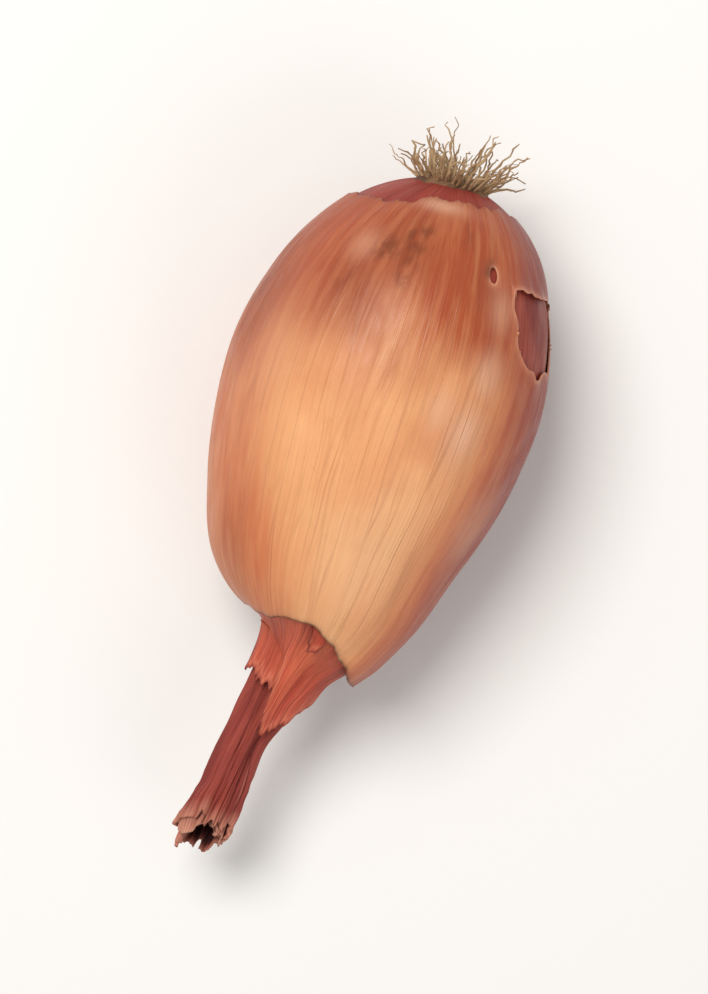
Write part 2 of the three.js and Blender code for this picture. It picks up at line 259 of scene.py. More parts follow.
def station_at(x, angle):
    """The station that is this far along the bulb's axis."""
    x, angle = np.broadcast_arrays(x, angle)
    closing = closing_x(angle)
    turn = np.arccos(np.clip(1 - x / WIDEST_X, 0, 1) ** (ROOT_FULLNESS / 2))
    neck_half = 1 + (x - WIDEST_X) / (closing - WIDEST_X)
    neck = 2 + (x - closing) / (NECK_END_X - closing)
    return np.where(x <= WIDEST_X, turn / (pi / 2), np.where(x <= closing, neck_half, neck))


def smooth_radius(station, x, angle):
    """The bulb's radius without its fine relief."""
    turn = np.clip(station, 0, 1) * pi / 2
    root_half = BODY_WIDTH / 2 * sin(turn) ** (2 / ROOT_FULLNESS)
    blunt = NECK_FULLNESS + NECK_FULLNESS_SKEW * sin(angle)
    along = (x - WIDEST_X) / (closing_x(angle) - WIDEST_X)
    closing = BODY_WIDTH / 2 * flatten(1 - along * along, CLOSING_SOFTNESS) ** blunt
    radius = np.where(station <= 1, root_half, soft_max(closing, neck_radius(x, angle), COLLAR_REACH))
    on_body = 1 - smoothstep(NECK_START_X - 6, NECK_START_X + 4, x)
    oval = 1 + (BODY_HEIGHT / BODY_WIDTH - 1) * cos(angle) ** 2 * on_body
    uneven = 0.014 * cos(2 * angle + 0.6) + 0.011 * cos(3 * angle - 1.1)
    return radius * (oval + uneven * on_body)


def smooth_point(station, angle):
    """A point on the bulb's surface without its fine relief."""
    station, angle = np.broadcast_arrays(station, angle)
    x = x_of(station, angle)
    radius = smooth_radius(station, x, angle)
    side, up = across_axis(x)
    across = side * (radius * sin(angle))[..., None] + up * (radius * cos(angle))[..., None]
    return axis_point(x) + across


def surface(station, angle, height):
    """A point at a height above the smooth surface.

    The height is measured square to the surface on the body, and away from the axis on the neck.
    """
    small = 1e-3
    station, angle, height = np.broadcast_arrays(station, angle, height)
    behind = np.maximum(station - small, small / 10)
    along = smooth_point(station + small, angle) - smooth_point(behind, angle)
    round_ = smooth_point(station, angle + small) - smooth_point(station, angle - small)
    square = np.cross(along, round_)
    square /= np.linalg.norm(square, axis=-1, keepdims=True)
    x = x_of(station, angle)
    point = smooth_point(station, angle)
    from_axis = point - axis_point(x)
    from_axis /= np.linalg.norm(from_axis, axis=-1, keepdims=True)
    on_neck = smoothstep(NECK_START_X + 3, NECK_START_X + 10, x)[..., None]
    out = square + (from_axis - square) * on_neck
    out /= np.linalg.norm(out, axis=-1, keepdims=True)
    return point + out * height[..., None]


def pleats(x, angle):
    """The folds of the dry neck, from 0 in a valley to 1 on a ridge."""
    turned = untwisted(x, angle) + 0.12 * ripple(angle, x, 5, 8, 31)
    folds = 0
    for count, share in ((5, 0.3), (9, 0.28), (16, 0.24), (31, 0.18)):
        drift = ripple(angle, x, count, 8, count)
        folds = folds + share * abs(sin(count / 2 * turned + count + drift)) ** 0.8
    return folds


def bulb_relief(x, angle):
    """How far the bulb's skin stands above the smooth surface, from broad lumps to fine crumples."""
    on_neck = smoothstep(54, 66, x)
    at_end = smoothstep(74, 86, x)
    lumps = 0.13 * ripple(angle, x, 7, 15, 11) + 0.06 * ripple(angle, x, 15, 9, 12)
    cords = 0.035 * ripple(angle, x, 60, 16, 13) * smoothstep(2, 12, x)
    folds = 1.4 * (pleats(x, angle) - FOLD_LEVEL) * on_neck * (0.8 + 0.4 * at_end)
    strings = 0.05 * ripple(angle, x, 72, 7, 14) * on_neck
    crumples = (0.26 * crease(angle, x, 7, 3.6, 15) + 0.13 * crease(angle, x, 15, 1.9, 17)) * at_end
    flare = 0.55 * ripple(angle, 0, 6, 1, 18) * smoothstep(80, 88, x)
    furrows = 0.1 * ripple(angle, x, 34, 7, 16) * bump(0, 7, x)
    pinch = 0.7 * bump(73, 3.4, x) * smoothstep(-0.1, 0.9, sin(angle))
    fine = cords * (1 - on_neck) + strings + crumples + furrows
    relief = lumps * (1 - 0.5 * on_neck) + folds + fine + flare - pinch
    return soft_max(relief, -DEEPEST_FOLD * neck_radius(x, angle), 0.2)


def under_neck_skin(x, angle, relief, height):
    """Keeps a layer of the hollow short of the neck's axis, and under its skin."""
    short = np.maximum(height, HOLLOW_LEAST - neck_radius(x, angle))
    return np.minimum(short, relief - THINNEST_WALL)


# -------- meshes


def curve_at(x):
    """How far to +Y the curved bulb is from its straight axis."""
    return ROOT_LEAN * np.maximum(0, 1 - x / ROOT_LEAN_X) ** 2


def lay_down(points):
    """Curves the bulb, moves it from its own axis to where it lies, and flattens the belly there."""
    x, y, z = points[..., 0] - RESTING_X, points[..., 1], points[..., 2]
    y = y + curve_at(points[..., 0]) - curve_at(RESTING_X)
    low, turn = BODY_HEIGHT / 2 - RESTING_DEPTH, RESTING_PITCH
    x, z = x * cos(turn) + z * sin(turn), z * cos(turn) - x * sin(turn) + low
    return np.stack([x, y, flatten(z, RESTING_BLEND)], -1)


def grid_faces(rows, columns, closed):
    """Four-sided faces between the points of a grid. A closed one joins its last column to its first."""
    row, column = np.mgrid[0 : rows - 1, 0 : columns if closed else columns - 1]
    after = (column + 1) % columns
    corners = [row * columns + column, (row + 1) * columns + column]
    corners += [(row + 1) * columns + after, row * columns + after]
    return np.stack(corners, -1).reshape(-1, 4).tolist()


def end_fans(rows, around):
    """Triangles that close a tube's first and last ring on two more points, which follow its own."""
    first, last = rows * around, rows * around + 1
    base = (rows - 1) * around
    faces = []
    for step in range(around):
        after = (step + 1) % around
        faces.append([first, step, after])
        faces.append([last, base + after, base + step])
    return faces


def make_piece(name, points, faces, attributes, material):
    """An object from points in millimetres. attributes are named numbers or vectors, one for each point."""
    if isinstance(faces, np.ndarray):
        used, corners = np.unique(faces, return_inverse=True)
        faces = corners.reshape(faces.shape).tolist()
        points = points[used]
        attributes = {key: values[used] for key, values in attributes.items()}
    mesh = bpy.data.meshes.new(name)
    mesh.from_pydata((lay_down(points) * MM).tolist(), [], faces)
    mesh.polygons.foreach_set("use_smooth", [True] * len(mesh.polygons))
    for key, values in attributes.items():
        kind, field = ("FLOAT_VECTOR", "vector") if values.ndim == 2 else ("FLOAT", "value")
        layer = mesh.attributes.new(key, kind, "POINT")
        layer.data.foreach_set(field, np.ascontiguousarray(values, dtype=np.float32).ravel())
    mesh.validate()
    mesh.materials.append(material)
    piece = bpy.data.objects.new(name, mesh)
    bpy.context.scene.collection.objects.link(piece)
    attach(piece, "root")
    return piece


def skin_place(x, angle):
    """Where a point is on the skin, for the veins: a unit circle across, and centimetres along."""
    x, angle = np.broadcast_arrays(x, angle)
    return np.stack([cos(angle), sin(angle), x / 10], -1)


def thicken(piece, thickness):
    """Gives a sheet its thickness, towards the bulb."""
    solid = piece.modifiers.new("thickness", "SOLIDIFY")
    solid.thickness = thickness * MM
    solid.offset = -1
    solid.use_even_offset = False


def blobs(x, angle, places):
    """The strongest of several soft spots at each point, from 0 to 1."""
    total = 0
    for at_x, at_angle, reach_x, reach_angle, strength in places:
        apart = (angle - radians(at_angle) + pi) % (2 * pi) - pi
        spot = bump(at_x, reach_x, x) * bump(0, radians(reach_angle), apart)
        total = np.maximum(total, strength * spot)
    return total


# -------- materials


def linear(colour):
    """A colour given in sRGB from 0 to 255, as the shader takes it."""
    parts = [channel / 255 for channel in colour]
    return tuple(c / 12.92 if c <= 0.04045 else ((c + 0.055) / 1.055) ** 2.4 for c in parts) + (1.0,)


def add(tree, kind, inputs=None, **settings):
    """A new shader node. Each input is a socket to join it to, or a value."""
    node = tree.nodes.new(kind)
    for key, value in settings.items():
        setattr(node, key, value)
    for key, value in (inputs or {}).items():
        if isinstance(value, bpy.types.NodeSocket):
            tree.links.new(value, node.inputs[key])
        else:
            node.inputs[key].default_value = value
    return node


def attribute(tree, name):
    return add(tree, "ShaderNodeAttribute", attribute_type="GEOMETRY", attribute_name=name)


def mix(tree, factor, first, second):
    """The colour between two, in linear light."""
    node = add(tree, "ShaderNodeMix", {0: factor, 6: first, 7: second}, data_type="RGBA")
    return node.outputs[2]


def calc(tree, operation, first, second=0.0):
    return add(tree, "ShaderNodeMath", {0: first, 1: second}, operation=operation).outputs[0]


def remap(tree, value, low, high, new_low=0.0, new_high=1.0):
    ends = {"Value": value, "From Min": low, "From Max": high, "To Min": new_low, "To Max": new_high}
    return add(tree, "ShaderNodeMapRange", ends, interpolation_type="SMOOTHSTEP").outputs["Result"]


def vector_calc(tree, operation, first, second):
    return add(tree, "ShaderNodeVectorMath", {0: first, 1: second}, operation=operation).outputs[0]


def stretched(tree, vector, across, along):
    """The skin's place at a density: features in a unit across, and in a centimetre along."""
    return vector_calc(tree, "MULTIPLY", vector, (across, across, along))


def grain(tree, vector, across, along, detail=2.0, roughness=0.55):
    place = stretched(tree, vector, across, along)
    inputs = {"Vector": place, "Scale": 1.0, "Detail": detail, "Roughness": roughness}
    return add(tree, "ShaderNodeTexNoise", inputs).outputs["Fac"]


def wandering(tree, place):
    """The place that lines are drawn at, pushed about by slow noise."""
    inputs = {"Vector": stretched(tree, place, 3, 0.7), "Scale": 1.0, "Detail": 1.0}
    drift = add(tree, "ShaderNodeTexNoise", inputs).outputs["Color"]
    centred = vector_calc(tree, "SUBTRACT", drift, (0.5, 0.5, 0.5))
    return vector_calc(tree, "ADD", place, vector_calc(tree, "MULTIPLY", centred, (0.07, 0.07, 0.4)))


def cell_lines(tree, vector, across, along, width):
    """1 along the borders of long cells, and 0 past the width from them."""
    inputs = {"Vector": stretched(tree, vector, across, along), "Scale": 1.0}
    cells = add(tree, "ShaderNodeTexVoronoi", inputs, feature="DISTANCE_TO_EDGE")
    return remap(tree, cells.outputs["Distance"], 0.0, width, 1.0, 0.0)


def veins(tree, place, drifted):
    """The lengthwise veins, coarse and fine, which come and go."""
    fade = remap(tree, grain(tree, place, 4.0, 0.8), 0.35, 0.65, 0.1, 1.0)
    fine_fade = remap(tree, grain(tree, place, 7.0, 1.0), 0.36, 0.62, 0.0, 0.55)
    coarse = calc(tree, "MULTIPLY", cell_lines(tree, drifted, 8.5, 0.17, 0.055), fade)
    fine = calc(tree, "MULTIPLY", cell_lines(tree, drifted, 20.0, 0.3, 0.085), fine_fade)
    return calc(tree, "MAXIMUM", coarse, fine)


def tinted(tree, colour, tints, drifted):
    """The colour with tints laid on it softly, in order: real staining, painted shade and painted
    highlights.
    """
    uneven = remap(tree, grain(tree, drifted, 14.0, 1.1, detail=4.0), 0.3, 0.7, 0.78, 1.14)
    for key, tint, share in tints:
        amount = calc(tree, "MULTIPLY", attribute(tree, key).outputs["Fac"], share)
        clipped = add(tree, "ShaderNodeMath", {0: amount, 1: uneven}, operation="MULTIPLY", use_clamp=True)
        colour = mix(tree, clipped.outputs[0], colour, linear(tint))
    return colour


def patched(tree, colour, patches, place):
    """The colour with broken-up patches laid over it."""
    broken = remap(tree, grain(tree, place, 9.0, 4.5, detail=5.0, roughness=0.6), 0.3, 0.7, 0.1, 1.3)
    for key, tint, share in patches:
        amount = calc(tree, "MULTIPLY", attribute(tree, key).outputs["Fac"], broken)
        colour = mix(tree, remap(tree, amount, 0.12, 1.0, 0.0, share), colour, linear(tint))
    return colour


def paper_bump(tree, place, line, streak, depth):
    """The fine relief of veins, streaks and pits."""
    height = calc(tree, "MULTIPLY", line, 0.7)
    height = calc(tree, "ADD", height, calc(tree, "MULTIPLY", streak, 0.5))
    pitted = grain(tree, place, 17.0, 8.0, detail=3.0)
    height = calc(tree, "ADD", height, calc(tree, "MULTIPLY", pitted, 0.7))
    inputs = {"Height": height, "Strength": 0.7, "Distance": depth * MM}
    return add(tree, "ShaderNodeBump", inputs).outputs[0]


def papery(
    name,
    light,
    dark,
    vein,
    tints=(),
    patches=(),
    vein_share=0.5,
    streak_share=0.35,
    tone_share=1.0,
    roughness=0.4,
    specular=0.4,
    coat=0.1,
    depth=0.08,
):
    """A dry skin with lengthwise veins and streaks.

    Colours are in sRGB. tints and patches are (attribute, colour, share); tints hold staining, painted
    shade and painted highlights. depth is in millimetres.
    """
    material = bpy.data.materials.new(name)
    material.use_nodes = True
    tree = material.node_tree
    tree.nodes.clear()
    light, dark, vein = linear(light), linear(dark), linear(vein)
    place = attribute(tree, "place").outputs["Vector"]
    drifted = wandering(tree, place)
    line = veins(tree, place, drifted)
    tone = remap(tree, grain(tree, place, 1.9, 0.7, detail=4.0), 0.36, 0.66, 0.0, tone_share)
    streak = remap(tree, grain(tree, drifted, 48.0, 0.5, detail=3.0), 0.36, 0.66)
    fleck = remap(tree, grain(tree, place, 26.0, 9.0, detail=3.0, roughness=0.7), 0.6, 0.74)
    colour = mix(tree, tone, light, dark)
    colour = mix(tree, calc(tree, "MULTIPLY", streak, streak_share), colour, dark)
    colour = mix(tree, calc(tree, "MULTIPLY", fleck, 0.14), colour, vein)
    colour = tinted(tree, colour, tints, drifted)
    colour = mix(tree, calc(tree, "MULTIPLY", line, vein_share), colour, vein)
    colour = patched(tree, colour, patches, place)
    worn = grain(tree, place, 11.0, 2.5, detail=3.0)
    inputs = {
        "Base Color": colour,
        "Roughness": remap(tree, worn, 0.3, 0.7, roughness - 0.07, roughness + 0.1),
        "Normal": paper_bump(tree, place, line, streak, depth),
        "Specular IOR Level": specular,
        "Coat Weight": coat,
        "Coat Roughness": 0.28,
    }
    shader = add(tree, "ShaderNodeBsdfPrincipled", inputs)
    add(tree, "ShaderNodeOutputMaterial", {"Surface": shader.outputs[0]})
    return material


# -------- the bulb


def rim_station(angle):
    """The neck's torn end, with slow waves and sharp nicks, torn back on top so that the hollow shows."""
    slant = -RIM_SLANT * cos(angle - RIM_SLANT_ANGLE)
    nicks = 0.55 * abs(ripple(angle, 0, 24, 1, 21)) + 0.5 * abs(ripple(angle, 0, 60, 1, 22))
    return 3 + (RIM_TEAR * waves(angle, 1) + slant - nicks - RIM_SHYNESS) / NECK_LENGTH


def fold_shade_mask(x, angle):
    """The painted shade in the neck's folds: 1 in the deepest folds of the neck, 0 on the ridges and on the
    body.
    """
    return np.clip(1.1 - 1.9 * pleats(x, angle), 0, 1) * smoothstep(56, 64, x)


def pale_strands(x, angle):
    """1 along the neck's palest strands."""
    return smoothstep(0.05, 0.7, ripple(untwisted(x, angle), x, 19, 13, 24)) * smoothstep(62, 72, x)


def bulb_material():
    return papery(
        "bulb_skin",
        light=(176, 84, 66),
        dark=(134, 50, 42),
        vein=(86, 28, 26),
        tints=[
            ("root_end", (156, 60, 50), 0.7),
            ("neck", (168, 78, 68), 0.7),
            ("dark_strand", (112, 42, 42), 0.6),
            ("strand", (214, 134, 114), 0.6),
            ("rim", (206, 142, 118), 0.7),
            # painted shade in the deep folds of the neck
            ("fold_shade", (74, 22, 24), 0.9),
            # inside: the hollow's darker colour together with painted shade deep inside the neck
            ("inside", (34, 12, 12), 0.97),
        ],
        streak_share=0.55,
        roughness=0.48,
        coat=0.0,
        specular=0.18,
    )


def bulb_stations(rim):
    """The stations of the bulb's rings, out to the rim and back into the hollow, and which are inside."""
    closing, foot = 1.85, 2.1
    root_half = np.linspace(0.02, 1, 44)
    body = np.concatenate([root_half, np.linspace(1, closing, 40)[1:], np.linspace(closing, foot, 24)[1:]])
    body = np.broadcast_to(body[:, None], (len(body), rim.size))
    neck = foot + (rim - foot) * np.linspace(0, 1, 124)[1:, None]
    floor = 3 - HOLLOW_DEPTH / NECK_LENGTH
    hollow = floor + (rim - floor) * np.linspace(1, 0, 34)[:, None]
    station = np.concatenate([body, neck, hollow])
    return station, np.arange(len(station))[:, None] >= len(body) + len(neck)


def make_bulb():
    """The bulb from its root end to the neck's torn rim, and back down the wall of the neck's hollow."""
    around = 360
    angle = np.linspace(0, 2 * pi, around, endpoint=False)[None, :]
    rim = rim_station(angle)
    station, inner = bulb_stations(rim)
    angle = np.broadcast_to(angle, station.shape)
    x = x_of(station, angle)
    relief = bulb_relief(x, angle)
    wall = NECK_WALL * (1 + 0.3 * ripple(angle, x, 13, 4, 23))
    narrowing = HOLLOW_NARROWING * smoothstep(0, HOLLOW_DEPTH, NECK_END_X - x)
    inside = under_neck_skin(x, angle, relief, relief - wall - narrowing)
    points = surface(station, angle, np.where(inner, inside, relief)).reshape(-1, 3)
    hollow_pole = points[-around:].mean(0, keepdims=True)
    points = np.concatenate([points, [[0.0, 0.0, 0.0]], hollow_pole])
    faces = grid_faces(len(station), around, closed=True) + end_fans(len(station), around)

    def spread(values, root_value, hollow_value):
        """The points' values, with those of the root pole and the hollow's pole after them."""
        return np.append(values.ravel(), [root_value, hollow_value])

    from_rim = (rim - station) * NECK_LENGTH
    # how deep a point lies in the neck's hollow, for the painted shade there
    hollow_shade = np.where(inner, smoothstep(-0.5, 1.5, from_rim), 0)
    attributes = {
        "place": np.concatenate([skin_place(x, angle).reshape(-1, 3), [[0, 0, 0]], [[0, 0, 7]]]),
        "root_end": spread(bump(0, 7, x), 1, 0),
        "neck": spread(smoothstep(60, 76, x), 0, 1),
        "strand": spread(pale_strands(x, angle), 0, 0),
        "dark_strand": spread(pale_strands(x, angle + pi), 0, 0),
        "fold_shade": spread(fold_shade_mask(x, angle), 0, 0),
        # inside carries the painted shade of the hollow
        "inside": spread(hollow_shade, 0, 1),
        "rim": spread(smoothstep(2.6, 0, from_rim) * (1 - hollow_shade), 0, 0),
    }
    piece = make_piece("bulb_body", points, faces, attributes, bulb_material())
    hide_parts("bulb")


def sheath_material():
    return papery(
        "sheath",
        light=(208, 140, 116),
        dark=(158, 80, 68),
        vein=(108, 44, 40),
        # inside: the layer's darker colour together with painted shade deep in the neck's hollow
        tints=[("inside", (52, 20, 18), 0.95), ("rim", (222, 168, 142), 0.6)],
        streak_share=0.6,
        roughness=0.5,
        coat=0.0,
        specular=0.22,
    )


def make_sheath(name, inset, reach, seed, material):
    """A crumpled inner layer of the neck that shows in its open end."""
    rows, around = 48, 200
    angle = np.linspace(0, 2 * pi, around, endpoint=False)[None, :]
    nicks = 0.9 * ripple(angle, 0, 9, 1, seed) + 0.6 * ripple(angle, 0, 31, 1, seed + 1)
    tongues = 2.4 * sin(angle - RIM_SLANT_ANGLE) ** 4
    end_x = np.minimum(NECK_END_X + reach + nicks + tongues, SHEATH_END_X)
    start_x = NECK_END_X - HOLLOW_DEPTH * 0.8
    x = start_x + (end_x - start_x) * np.linspace(0, 1, rows)[:, None]
    angle = np.broadcast_to(angle, x.shape)
    inwards = 0.9 * (1 - smoothstep(start_x, NECK_END_X - 3, x))
    crumples = 0.2 * crease(angle, x, 8, 3.1, seed + 2) + 0.11 * crease(angle, x, 19, 1.7, seed + 3)
    relief = bulb_relief(x, angle)
    height = np.minimum(relief, 0.5) - inset + crumples * smoothstep(start_x, NECK_END_X, x)
    height = under_neck_skin(x, angle, relief, height - inwards)
    attributes = {
        "place": skin_place(x, angle + 1.3).reshape(-1, 3),
        # inside carries painted shade that grows deeper into the hollow
        "inside": smoothstep(0.8, 3.5, end_x - x).ravel(),
        "rim": exp(-(end_x - x) / 0.9).ravel(),
    }
    points = surface(station_at(x, angle), angle, height).reshape(-1, 3)
    piece = make_piece(name, points, grid_faces(rows, around, closed=True), attributes, material)
    thicken(piece, PAPER * 0.8)
    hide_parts("bulb")


# -------- the outer skin


def beside_holes(x, angle):
    """Millimetres, roughly, from the holes torn in the skin: more than 0 where there is skin."""
    off = (angle - TEAR_ANGLE) / TEAR_HALF * (1 + 0.05 * ripple(0, x, 3, 1.9, 45))
    root_side = TEAR_FROM_X + 0.45 * ripple(angle, 0, 38, 1, 41) + 0.2 * ripple(angle, 0, 110, 1, 42)
    rough = 0.9 * ripple(angle, 0, 34, 1, 43) + 0.45 * ripple(angle, 0, 90, 1, 44)
    neck_side = TEAR_FROM_X + TEAR_LENGTH * (1 - abs(off) ** 5) + rough * np.maximum(0, 1 - off**2)
    tear = np.maximum(root_side - x, x - neck_side)
    pinhole = np.hypot((x - PINHOLE_X) / 0.95, (angle - PINHOLE_ANGLE) / radians(2.2)) - 1
    return np.minimum(tear, pinhole * 0.8)


def hole_slopes(x, angle):
    """How fast beside_holes changes along the axis and round the body, for each millimetre."""
    small = 0.05
    along = beside_holes(x + small, angle) - beside_holes(x - small, angle)
    turn = small / BODY_ARC
    round_ = beside_holes(x, angle + turn) - beside_holes(x, angle - turn)
    return along / (2 * small), round_ / (2 * small)


def kept_corners(kept):
    """Of a grid's corners, those of the cells that have at least one kept corner."""
    cells = kept[:-1, :-1] | kept[1:, :-1] | kept[:-1, 1:] | kept[1:, 1:]
    corners = np.zeros_like(kept)
    for rows in (slice(None, -1), slice(1, None)):
        for columns in (slice(None, -1), slice(1, None)):
            corners[rows, columns] |= cells
    return cells, corners


def skin_ends(rough):
    """The stations of the skin's torn edge at the root end, and of its mouth at the neck."""
    edge_noise = 0.012 * ripple(rough, 0, 60, 1, 51) + 0.007 * ripple(rough, 0, 140, 1, 52)
    start = SKIN_ROOT_EDGE + SKIN_ROOT_SLANT * smoothstep(SKIN_ROOT_SLANT_FROM, SKIN_ROOT_SLANT_TO, rough)
    start = start + 0.04 * waves(rough, 2) * (1 - 0.7 * bump(0, 1.2, rough)) + edge_noise
    mouth_noise = 0.006 * ripple(rough, 0, 34, 1, 53) + 0.002 * ripple(rough, 0, 130, 1, 54)
    mouth_waves = 0.02 * waves(rough, 3) * (1 - 0.8 * bump(0.4, 1.7, rough))
    mouth_x = SKIN_MOUTH_X + SKIN_MOUTH_SKEW * sin(rough) + SKIN_MOUTH_LOBES * sin(rough) ** 2
    mouth_x = mouth_x - SKIN_MOUTH_NOTCH * bump(radians(-6), radians(24), rough)
    return start, station_at(mouth_x, rough) + mouth_waves + mouth_noise


def skin_sides(station):
    """The angles of the skin's two torn edges under the belly."""
    left = SKIN_LEFT + radians(6) * waves(3 * station, 4) + radians(1.2) * ripple(0, station, 3, 0.02, 55)
    right = SKIN_RIGHT + radians(5) * waves(3 * station, 5) + radians(1.2) * ripple(0, station, 3, 0.02, 56)
    return left, right


def cut_holes(x, angle):
    """Moves the corners that a hole's edge cuts off onto the edge, and says which cells are left."""
    cells, corners = kept_corners(beside_holes(x, angle) > 0)
    for _ in range(4):
        beside = beside_holes(x, angle)
        along, round_ = hole_slopes(x, angle)
        pull = np.where(corners & (beside < 0), beside / np.maximum(along**2 + round_**2, 0.05), 0)
        x = x - pull * along
        angle = angle - pull * round_ / BODY_ARC
    return x, angle, cells


# Soft spots on the outer skin: x, degrees, reach along, reach round in degrees, strength
HAZE = [
    (9.5, -12, 5.0, 20, 0.9),
    (15.0, -24, 6.0, 16, 0.9),
    (19.0, -70, 9, 16, 0.8),
    (12.0, 28, 4.0, 9, 0.6),
    (49.0, -52, 6, 14, 0.6),
    (33.0, 112, 8, 9, 0.6),
    (45.0, -120, 8, 12, 0.6),
]
BLOTCHES = [
    (8.0, -8, 2.4, 9, 1.0),
    (10.6, -20, 2.2, 8, 1.0),
    (6.2, 18, 2.2, 7, 0.6),
    (9.4, 30, 2.4, 4, 0.9),
    (12.2, -7, 2.6, 5, 0.9),
    (15.0, -31, 2.6, 5, 0.5),
    (17.0, -78, 5, 9, 0.7),
    (9.0, -100, 4, 9, 0.8),
    (33.0, 112, 7, 7, 0.6),
    (45.0, -120, 6, 8, 0.6),
    (20, -112, 5, 8, 0.7),
]
# Mostly painted highlights on the skin, with a few pale spots of the skin itself
HIGHLIGHTS_AND_PALE_SPOTS = [
    (21.5, 36, 3.0, 6, 0.8),
    (27.0, 22, 2.6, 5, 0.7),
    (29.0, 33, 3.6, 7, 1.0),
    (47, 10, 9, 22, 0.3),
    (14.0, 37, 2.6, 6, 0.6),
    (10.4, -30, 2.0, 7, 0.5),
    (26, -50, 9, 14, 0.3),
    (40, 60, 5, 12, 0.5),
    (3.6, -2, 0.8, 16, 0.9),
]


def skin_tones(x, angle):
    """How browned and spotted the outer skin is, with painted shade on its flanks and painted highlights,
    as named values for its material.
    """
    uneven_angle = angle + 0.14 * ripple(angle, x, 9, 14, 65) + 0.05 * ripple(angle, x, 40, 18, 66)
    uneven_x = x + 3.8 * ripple(angle, x, 11, 8, 64) + 1.6 * ripple(angle, x, 30, 4, 67)
    near_neck = smoothstep(28, 50, x)
    # side and flank darken and redden the skin towards its flanks: partly its own colour, partly painted
    # shade where the body turns from the light
    reddest = bump(13.5, 6, x)
    flank = smoothstep(radians(38 - 8 * reddest), radians(78 - 26 * reddest), uneven_angle)
    flank = flank * (1 - 0.35 * smoothstep(34, 58, x))
    right_side = smoothstep(radians(20 - 8 * near_neck), radians(58 - 10 * near_neck), uneven_angle)
    left_side = smoothstep(radians(-16 + 6 * near_neck), radians(-65 + 22 * near_neck), uneven_angle)
    return {
        "browned": 1 - smoothstep(13, 33, uneven_x),
        "side": np.maximum(right_side, 0.85 * left_side),
        "flank": flank,
        "haze": blobs(x, angle, HAZE),
        "blotch": blobs(x, angle, BLOTCHES),
        "highlight_and_pale": blobs(x, angle, HIGHLIGHTS_AND_PALE_SPOTS),
    }


def outer_skin_material():
    return papery(
        "outer_skin",
        light=(234, 174, 121),
        dark=(218, 142, 94),
        vein=(140, 74, 42),
        tints=[
            # side: partly the skin's own browner colour, partly painted shade towards both sides
            ("side", (196, 100, 60), 0.9),
            ("browned", (166, 76, 43), 0.95),
            ("haze", (138, 64, 34), 0.62),
            # flank: partly the skin's own dark red, partly painted shade on the +Y flank
            ("flank", (142, 48, 38), 0.95),
            # painted highlights, and a few pale spots of the skin
            ("highlight_and_pale", (228, 182, 152), 0.6),
            # torn: paler torn paper round the hole, partly painted light showing through its thin edge
            ("torn", (226, 160, 126), 0.7),
            ("rim", (96, 44, 30), 0.85),
        ],
        patches=[("blotch", (112, 54, 30), 0.68)],
        vein_share=0.24,
        streak_share=0.25,
        tone_share=0.6,
        coat=0.04,
        specular=0.32,
        roughness=0.42,
    )


def skin_height(station, x, angle, rough, edges):
    """How high the skin is: it lies close to the bulb, and lifts and curls at its torn edges."""
    on_near_side = smoothstep(radians(36), radians(42), angle)
    on_near_side = on_near_side * (1 - smoothstep(radians(62), radians(80), angle))
    hole_curl = exp(-edges["hole"] / 0.9) * (0.4 + 0.25 * ripple(angle, x, 30, 3, 58)) * on_near_side
    root_curl = exp(-edges["root"] / 1.3) * (0.05 + 0.14 * ripple(rough, 0, 17, 1, 57))
    mouth = MOUTH_LIFT * (0.72 + 0.28 * sin(angle)) * smoothstep(1.5, 1.8, station)
    flare = exp(-edges["mouth"] / 1.6) * (0.1 + 0.3 * ripple(rough, 0, 23, 1, 60))
    side_lift = 0.6 * (exp(-edges["left"] / 2) + exp(-edges["right"] / 2))
    side_lift = side_lift * (1 + 0.7 * ripple(0, station, 3, 0.1, 59))
    lumps = 0.14 * ripple(angle, x, 9, 12, 61) + 0.05 * ripple(angle, x, 24, 7, 62)
    cords = 0.03 * ripple(angle, x, 72, 22, 63)
    under = bulb_relief(x, angle) * (1 - smoothstep(40, 52, x))
    close = 0.5 - 0.2 * np.maximum(exp(-edges["hole"] / 2), exp(-edges["root"] / 3))
    height = close + under + lumps + cords + root_curl + hole_curl + mouth + flare + side_lift
    return np.maximum(height, close - 0.04 + under)


